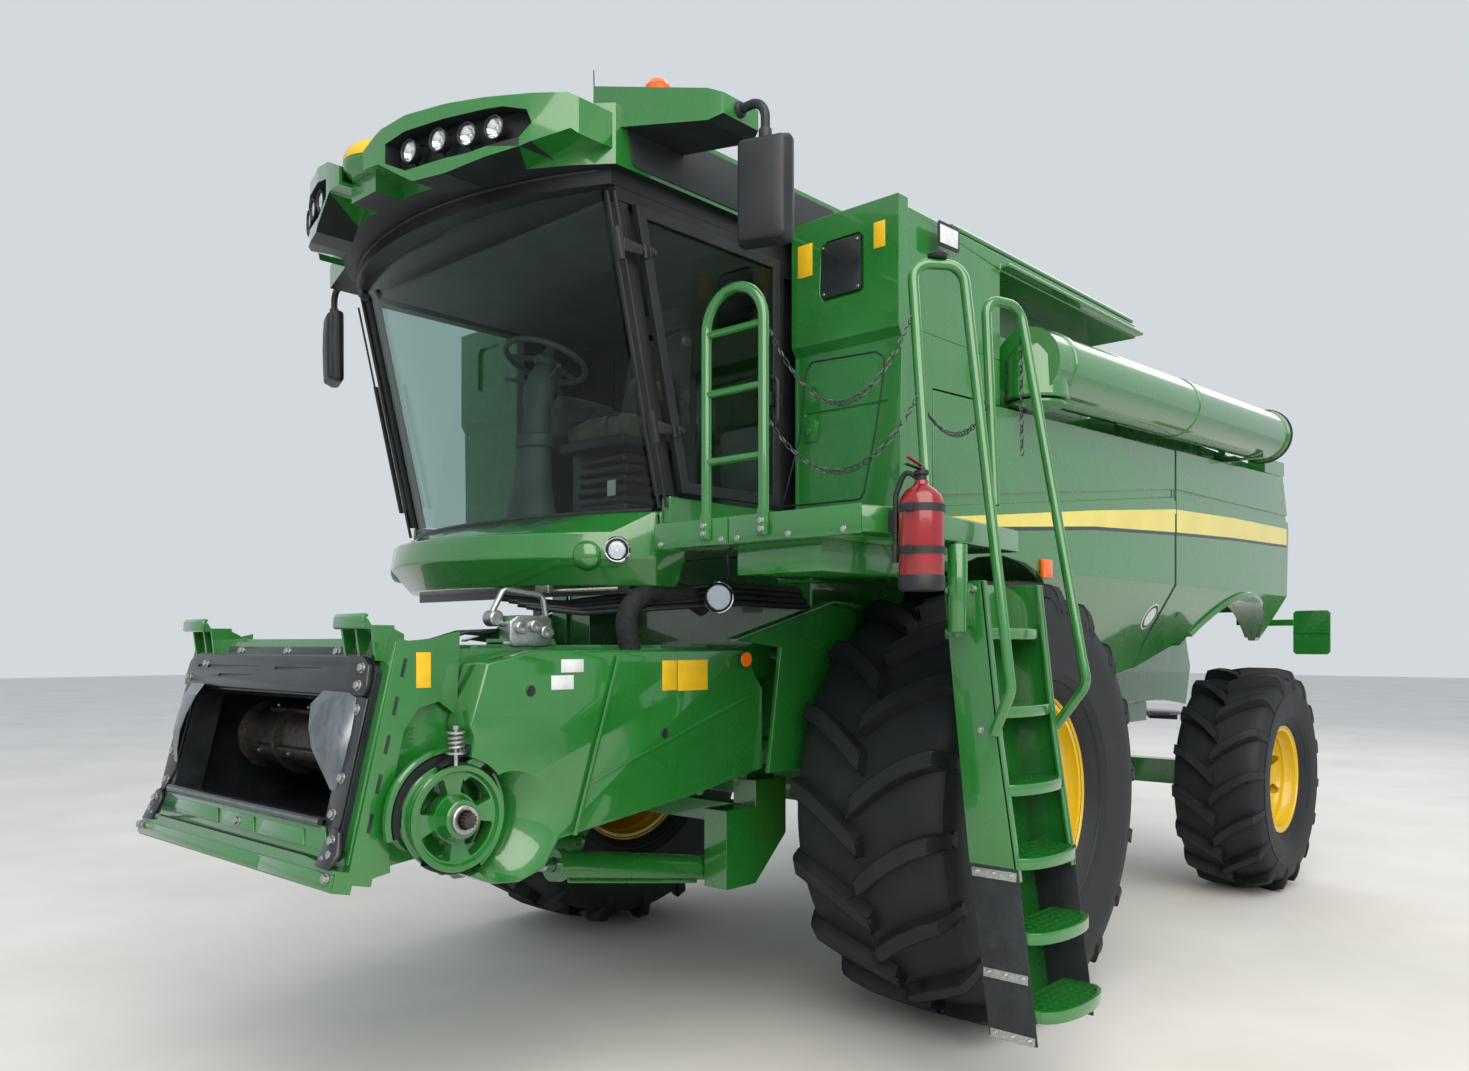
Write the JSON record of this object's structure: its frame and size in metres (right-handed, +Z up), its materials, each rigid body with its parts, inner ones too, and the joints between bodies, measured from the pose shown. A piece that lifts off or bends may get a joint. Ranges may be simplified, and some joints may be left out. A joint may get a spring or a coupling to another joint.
{
  "type": "combine harvester",
  "caption": "Self-propelled combine harvester without a header: cab, grain tank, swinging auger, feeder house, ladder and four wheels.",
  "frame": {"origin": "on the floor under the middle of the whole machine, ladder and rear marker plates included", "axes": "+X to the machine's left, +Y to its rear, +Z up; it drives towards -Y"},
  "size_m": [4.152, 7.9017, 3.92],
  "materials": {
    "green_paint": "gloss",
    "yellow_paint": "gloss",
    "black_plastic": "matte",
    "bare_steel": "worn",
    "tyre": "matte",
    "glass": "clear",
    "red_paint": "gloss",
    "lamp_lens": "clear",
    "seat_fabric": "woven",
    "grey_plastic": "matte",
    "black_paint": "satin",
    "chrome_rod": "polished"
  },
  "bodies": {
    "chassis": {"chassis_frame": "green_paint", "rear_axle": "green_paint", "separator_body": "green_paint", "grain_tank": "green_paint", "front_bulkhead": "green_paint", "engine_deck": "green_paint", "engine_block": "black_paint", "cooling_screen": "black_paint", "rear_hood": "green_paint", "auger_supports": "green_paint", "cab_base": "green_paint", "cab_frame": "black_plastic", "fixed_glass": "glass", "windshield": "glass", "seat": "seat_fabric", "armrest_console": "grey_plastic", "steering_column": "grey_plastic", "cab_roof": "green_paint", "roof_lamps": "lamp_lens", "receiver_dome": "yellow_paint", "mirrors": "black_plastic", "deck": "green_paint", "extinguisher": "red_paint", "straw_chopper": "green_paint"},
    "feeder": {"feeder_house": "green_paint", "feeder_frame": "green_paint", "drive_shield": "green_paint", "header_drive": "green_paint"},
    "drum": {"feeder_drum": "bare_steel"},
    "barrels": {"lift_barrels": "green_paint"},
    "rods": {"lift_rods": "chrome_rod"},
    "auger": {"auger_tube": "green_paint"},
    "door": {"cab_door": "black_plastic", "door_glass": "glass"},
    "ladder_swing": {"ladder": "green_paint"},
    "lid_left": {"tank_lid_left": "green_paint"},
    "lid_right": {"tank_lid_right": "green_paint"},
    "tie_rod_link": {"tie_rod": "bare_steel"},
    "spreader_left": {"spreader_disc_left": "bare_steel"},
    "spreader_right": {"spreader_disc_right": "bare_steel"},
    "wheel_front_left": {"tyre_front_left": "tyre", "rim_front_left": "yellow_paint"},
    "panel_front_left": {"side_panel_front_left": "green_paint"},
    "wheel_rear_left": {"tyre_rear_left": "tyre", "rim_rear_left": "yellow_paint"},
    "panel_rear_left": {"side_panel_rear_left": "green_paint"},
    "steering_left": {"knuckle_left": "green_paint"},
    "wheel_front_right": {"tyre_front_right": "tyre", "rim_front_right": "yellow_paint"},
    "panel_front_right": {"side_panel_front_right": "green_paint"},
    "wheel_rear_right": {"tyre_rear_right": "tyre", "rim_rear_right": "yellow_paint"},
    "panel_rear_right": {"side_panel_rear_right": "green_paint"},
    "steering_right": {"knuckle_right": "green_paint"}
  },
  "joints": [
    {"name": "front_wheel_left", "type": "hinge", "parent": "chassis", "child": "wheel_front_left", "pos_m": [1.117, -0.975, 1.025], "axis": [1, 0, 0], "continuous": true},
    {"name": "steer_left", "type": "hinge", "parent": "chassis", "child": "steering_left", "pos_m": [0.845, 2.745, 0.79], "axis": [0, 0, 1], "range_deg": [-28, 28]},
    {"name": "rear_wheel_left", "type": "hinge", "parent": "steering_left", "child": "wheel_rear_left", "pos_m": [1.186, 2.745, 0.79], "axis": [1, 0, 0], "continuous": true},
    {"name": "tank_lid_hinge_left", "type": "hinge", "parent": "chassis", "child": "lid_left", "pos_m": [1.235, -0.675, 3.62], "axis": [0, 1, 0], "range_deg": [0, 100]},
    {"name": "panel_front_hinge_left", "type": "hinge", "parent": "chassis", "child": "panel_front_left", "pos_m": [1.245, -1.575, 2.86], "axis": [0, -0.9994, -0.034], "range_deg": [0, 75]},
    {"name": "panel_rear_hinge_left", "type": "hinge", "parent": "chassis", "child": "panel_rear_left", "pos_m": [1.245, 1.205, 2.95452], "axis": [0, -0.9994, -0.034], "range_deg": [0, 75]},
    {"name": "spreader_spin_left", "type": "hinge", "parent": "chassis", "child": "spreader_left", "pos_m": [0.085, 3.475, 1.18], "axis": [0, 0, 1], "continuous": true},
    {"name": "front_wheel_right", "type": "hinge", "parent": "chassis", "child": "wheel_front_right", "pos_m": [-1.667, -0.975, 1.025], "axis": [1, 0, 0], "continuous": true},
    {"name": "steer_right", "type": "hinge", "parent": "chassis", "child": "steering_right", "pos_m": [-1.395, 2.745, 0.79], "axis": [0, 0, 1], "range_deg": [-28, 28]},
    {"name": "rear_wheel_right", "type": "hinge", "parent": "steering_right", "child": "wheel_rear_right", "pos_m": [-1.736, 2.745, 0.79], "axis": [1, 0, 0], "continuous": true},
    {"name": "tank_lid_hinge_right", "type": "hinge", "parent": "chassis", "child": "lid_right", "pos_m": [-1.785, -0.675, 3.62], "axis": [0, -1, 0], "range_deg": [0, 100]},
    {"name": "panel_front_hinge_right", "type": "hinge", "parent": "chassis", "child": "panel_front_right", "pos_m": [-1.795, -1.575, 2.86], "axis": [0, 0.9994, 0.034], "range_deg": [0, 75]},
    {"name": "panel_rear_hinge_right", "type": "hinge", "parent": "chassis", "child": "panel_rear_right", "pos_m": [-1.795, 1.205, 2.95452], "axis": [0, 0.9994, 0.034], "range_deg": [0, 75]},
    {"name": "spreader_spin_right", "type": "hinge", "parent": "chassis", "child": "spreader_right", "pos_m": [-0.635, 3.475, 1.18], "axis": [0, 0, 1], "continuous": true},
    {"name": "tie_rod_pivot", "type": "hinge", "parent": "steering_left", "child": "tie_rod_link", "pos_m": [0.845, 2.995, 0.725], "axis": [0, 0, 1], "range_deg": [-28, 28]},
    {"name": "feeder_lift", "type": "hinge", "parent": "chassis", "child": "feeder", "pos_m": [-0.275, -1.775, 1.7], "axis": [-1, 0, 0], "range_deg": [-22, 5]},
    {"name": "feeder_drum_spin", "type": "hinge", "parent": "feeder", "child": "drum", "pos_m": [-0.275, -3.535, 1.37], "axis": [1, 0, 0], "continuous": true},
    {"name": "lift_cylinder_tilt", "type": "hinge", "parent": "chassis", "child": "barrels", "pos_m": [-0.275, -1.925, 0.7], "axis": [-1, 0, 0], "range_deg": [-25, 6]},
    {"name": "lift_rod_slide", "type": "slide", "parent": "barrels", "child": "rods", "axis": [0, -0.9871, 0.1601], "range_m": [-0.4, 0.1]},
    {"name": "auger_swing", "type": "hinge", "parent": "chassis", "child": "auger", "pos_m": [1.325, -0.785, 2.917], "axis": [0, 0, -1], "range_deg": [0, 100]},
    {"name": "cab_door_hinge", "type": "hinge", "parent": "chassis", "child": "door", "pos_m": [0.715, -2.575, 2.36], "axis": [0, 0.2269, -0.9739], "range_deg": [0, 75]},
    {"name": "ladder_swing_hinge", "type": "hinge", "parent": "chassis", "child": "ladder_swing", "pos_m": [1.725, -2.175, 2], "axis": [0, 0, -1], "range_deg": [0, 90]}
  ],
  "couplings": [
    {"joint": "steer_right", "follows": "steer_left", "ratio": 1},
    {"joint": "tie_rod_pivot", "follows": "steer_left", "ratio": -1},
    {"joint": "lift_cylinder_tilt", "follows": "feeder_lift", "ratio": 1.1},
    {"joint": "lift_rod_slide", "follows": "feeder_lift", "m_per_rad": 0.985}
  ]
}
